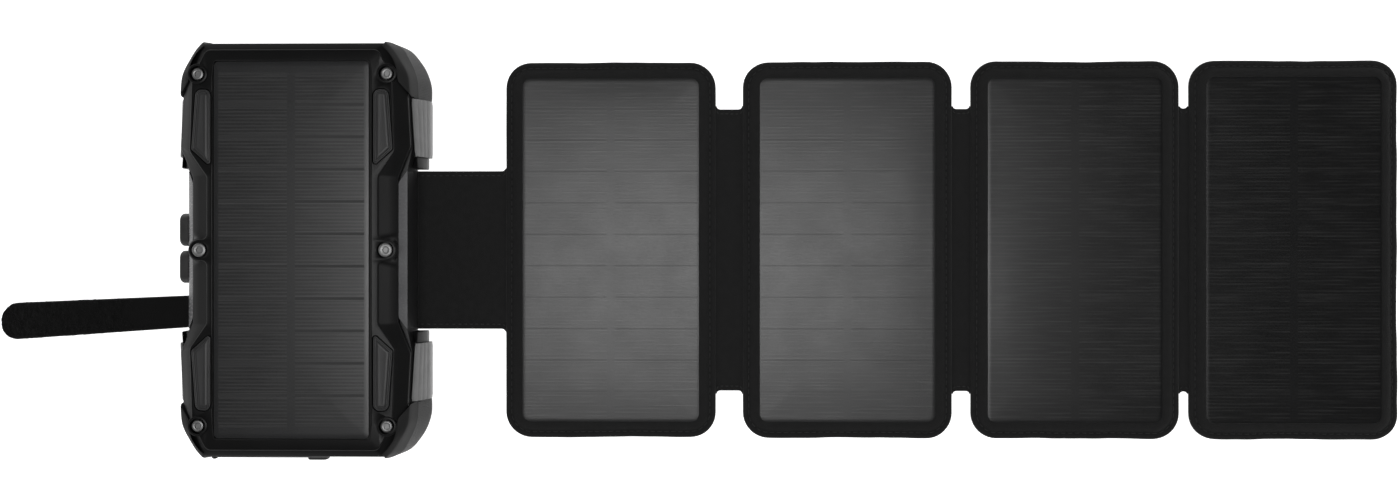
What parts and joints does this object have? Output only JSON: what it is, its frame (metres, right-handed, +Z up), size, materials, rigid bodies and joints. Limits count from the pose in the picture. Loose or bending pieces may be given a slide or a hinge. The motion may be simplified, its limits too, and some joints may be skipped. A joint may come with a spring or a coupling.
{
  "type": "solar phone charger",
  "caption": "Folding solar phone charger: a rugged power bank with a solar face, fold-out fabric-bound solar panels that roll up over it, side buttons, covered ports and a closing strap.",
  "frame": {"origin": "centre of the power bank's base, on the surface it lies on", "axes": "+X along the unfolded panels, +Y along the power bank's length, +Z up out of the solar faces"},
  "size_m": [0.5432, 0.1598, 0.0215],
  "materials": {
    "case_plastic": "fine moulded texture",
    "frame_plastic": "satin",
    "bumper_rubber": "matte with fine dots",
    "grip_rubber": "ribbed, satin",
    "inlay_plastic": "smooth",
    "trim_plastic": "glossy",
    "gasket_rubber": "matte",
    "solar_laminate": "satin laminate over dark cells",
    "screw_steel": "satin",
    "cell_pouch": "foil pouch",
    "board_green": "solder mask",
    "socket_steel": "nickel plated",
    "clear_plastic": "clear",
    "led_yellow": "phosphor",
    "panel_fabric": "woven polyester, matte",
    "panel_board": "stiffener board",
    "strap_fabric": "hook and loop tape",
    "button_rubber": "satin"
  },
  "bodies": {
    "case": {"rear_shell": "case_plastic", "front_frame": "frame_plastic", "shell_gasket": "gasket_rubber", "body_laminate": "solar_laminate", "frame_screws": "screw_steel", "bumper_1": "bumper_rubber", "bumper_2": "bumper_rubber", "bumper_3": "bumper_rubber", "bumper_4": "bumper_rubber", "grip_1": "grip_rubber", "grip_2": "grip_rubber", "grip_3": "grip_rubber", "grip_4": "grip_rubber", "inlay_1": "inlay_plastic", "inlay_2": "inlay_plastic", "inlay_3": "inlay_plastic", "inlay_4": "inlay_plastic", "side_trim_1": "trim_plastic", "side_trim_2": "trim_plastic", "battery_cell_1": "cell_pouch", "battery_cell_2": "cell_pouch", "circuit_board": "board_green", "usb_socket_1": "socket_steel", "usb_socket_2": "socket_steel", "charge_socket": "socket_steel", "lamp_lens": "clear_plastic", "lamp_led": "led_yellow", "indicator_lights": "clear_plastic", "clamp_plate": "case_plastic", "clamp_screws": "screw_steel", "strip_root": "panel_fabric", "strap_root": "strap_fabric"},
    "power_button": {"power_button": "button_rubber"},
    "light_button": {"light_button": "button_rubber"},
    "port_cover": {"port_cover": "bumper_rubber"},
    "spine_1": {"spine_1": "panel_fabric"},
    "panel_1": {"panel_back_1": "panel_fabric", "panel_board_1": "panel_board", "panel_laminate_1": "solar_laminate", "panel_front_1": "panel_fabric", "loop_patch": "strap_fabric"},
    "spine_2": {"spine_2": "panel_fabric"},
    "panel_2": {"panel_back_2": "panel_fabric", "panel_board_2": "panel_board", "panel_laminate_2": "solar_laminate", "panel_front_2": "panel_fabric"},
    "spine_3": {"spine_3": "panel_fabric"},
    "panel_3": {"panel_back_3": "panel_fabric", "panel_board_3": "panel_board", "panel_laminate_3": "solar_laminate", "panel_front_3": "panel_fabric"},
    "spine_4": {"spine_4": "panel_fabric"},
    "panel_4": {"panel_back_4": "panel_fabric", "panel_board_4": "panel_board", "panel_laminate_4": "solar_laminate", "panel_front_4": "panel_fabric"},
    "strap_riser": {"strap_riser": "strap_fabric"},
    "strap_tip": {"strap_tip": "strap_fabric"}
  },
  "joints": [
    {"name": "lift_1", "type": "hinge", "parent": "case", "child": "spine_1", "pos_m": [0.0425, 0, 0.0015], "axis": [0, -1, 0], "range_deg": [0, 90]},
    {"name": "fold_1", "type": "hinge", "parent": "spine_1", "child": "panel_1", "pos_m": [0.0762, 0, 0.0015], "axis": [0, -1, 0], "range_deg": [0, 90]},
    {"name": "lift_2", "type": "hinge", "parent": "panel_1", "child": "spine_2", "pos_m": [0.1584, 0, 0.0015], "axis": [0, -1, 0], "range_deg": [0, 90]},
    {"name": "fold_2", "type": "hinge", "parent": "spine_2", "child": "panel_2", "pos_m": [0.1686, 0, 0.0015], "axis": [0, -1, 0], "range_deg": [0, 90]},
    {"name": "lift_3", "type": "hinge", "parent": "panel_2", "child": "spine_3", "pos_m": [0.25, 0, 0.0015], "axis": [0, -1, 0], "range_deg": [0, 90]},
    {"name": "fold_3", "type": "hinge", "parent": "spine_3", "child": "panel_3", "pos_m": [0.2568, 0, 0.0015], "axis": [0, -1, 0], "range_deg": [0, 90]},
    {"name": "lift_4", "type": "hinge", "parent": "panel_3", "child": "spine_4", "pos_m": [0.3374, 0, 0.0015], "axis": [0, -1, 0], "range_deg": [0, 90]},
    {"name": "fold_4", "type": "hinge", "parent": "spine_4", "child": "panel_4", "pos_m": [0.3408, 0, 0.0015], "axis": [0, -1, 0], "range_deg": [0, 90]},
    {"name": "strap_lift", "type": "hinge", "parent": "case", "child": "strap_riser", "pos_m": [-0.0432, -0.0238, 0.0014], "axis": [0, 1, 0], "range_deg": [0, 90]},
    {"name": "strap_fold", "type": "hinge", "parent": "strap_riser", "child": "strap_tip", "pos_m": [-0.0806, -0.0259, 0.0014], "axis": [0, 1, 0], "range_deg": [0, 90]},
    {"name": "power_press", "type": "slide", "parent": "case", "child": "power_button", "axis": [1, 0, 0], "range_m": [0, 0.0006], "stiffness_N_per_m": 900, "springref_m": -0.0004},
    {"name": "light_press", "type": "slide", "parent": "case", "child": "light_button", "axis": [1, 0, 0], "range_m": [0, 0.0006], "stiffness_N_per_m": 900, "springref_m": -0.0004},
    {"name": "port_cover_swing", "type": "hinge", "parent": "case", "child": "port_cover", "pos_m": [-0.032, -0.0784, 0.0092], "axis": [0, 0, -1], "range_deg": [0, 100]}
  ]
}
